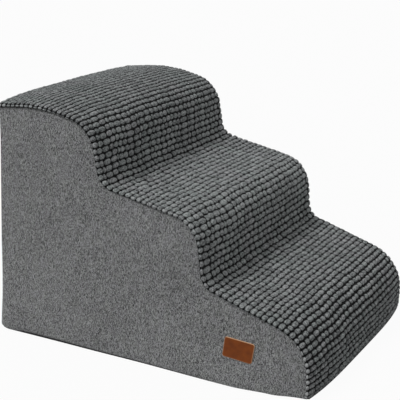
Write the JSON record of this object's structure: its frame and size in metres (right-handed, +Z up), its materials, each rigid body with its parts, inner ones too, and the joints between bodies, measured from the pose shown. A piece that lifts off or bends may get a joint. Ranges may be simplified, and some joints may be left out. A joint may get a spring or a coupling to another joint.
{
  "type": "pet stairs",
  "caption": "Curved foam pet stairs: a wave of rounded steps under bumpy plush, linen-look sides, a bare leather patch, an anti-slip base and a zip across the back.",
  "frame": {"origin": "middle of the outer box's length and width, on the floor under the rubber dots", "axes": "+X from the tall back to the low front, +Z up, -Y the side with the leather patch"},
  "size_m": [0.5694, 0.44, 0.4001],
  "materials": {
    "firm_foam": "matte",
    "soft_foam": "matte",
    "grey_plush": "matte",
    "heather_linen": "matte",
    "black_base_cloth": "matte",
    "black_rubber": "matte",
    "brown_leather": "satin",
    "zip_tape": "matte",
    "zip_plastic": "satin",
    "black_zip_metal": "satin"
  },
  "bodies": {
    "stairs": {"foam_lower_block": "firm_foam", "foam_upper_block": "firm_foam", "foam_topper": "soft_foam", "tread_panel": "grey_plush", "side_panel_left": "heather_linen", "side_panel_right": "heather_linen", "back_panel": "heather_linen", "back_hem_strip": "heather_linen", "base_panel": "black_base_cloth", "anti_slip_dots": "black_rubber", "leather_label": "brown_leather", "zip_tape_upper": "zip_tape", "zip_tape_lower": "zip_tape", "zip_teeth_upper": "zip_plastic", "zip_teeth_lower": "zip_plastic", "zip_top_stops": "zip_plastic", "zip_bottom_stop": "zip_plastic"},
    "slider": {"zip_slider": "black_zip_metal"},
    "pull": {"zip_pull_tab": "black_zip_metal"}
  },
  "joints": [
    {"name": "zip_slide", "type": "slide", "parent": "stairs", "child": "slider", "axis": [0, -1, 0], "range_m": [0, 0.27345], "deforming": ["zip_teeth_upper", "zip_teeth_lower"]},
    {"name": "pull_swing", "type": "hinge", "parent": "slider", "child": "pull", "pos_m": [-0.28284, 0.13895, 0.046], "axis": [0, 0, -1], "range_deg": [0, 175]}
  ]
}
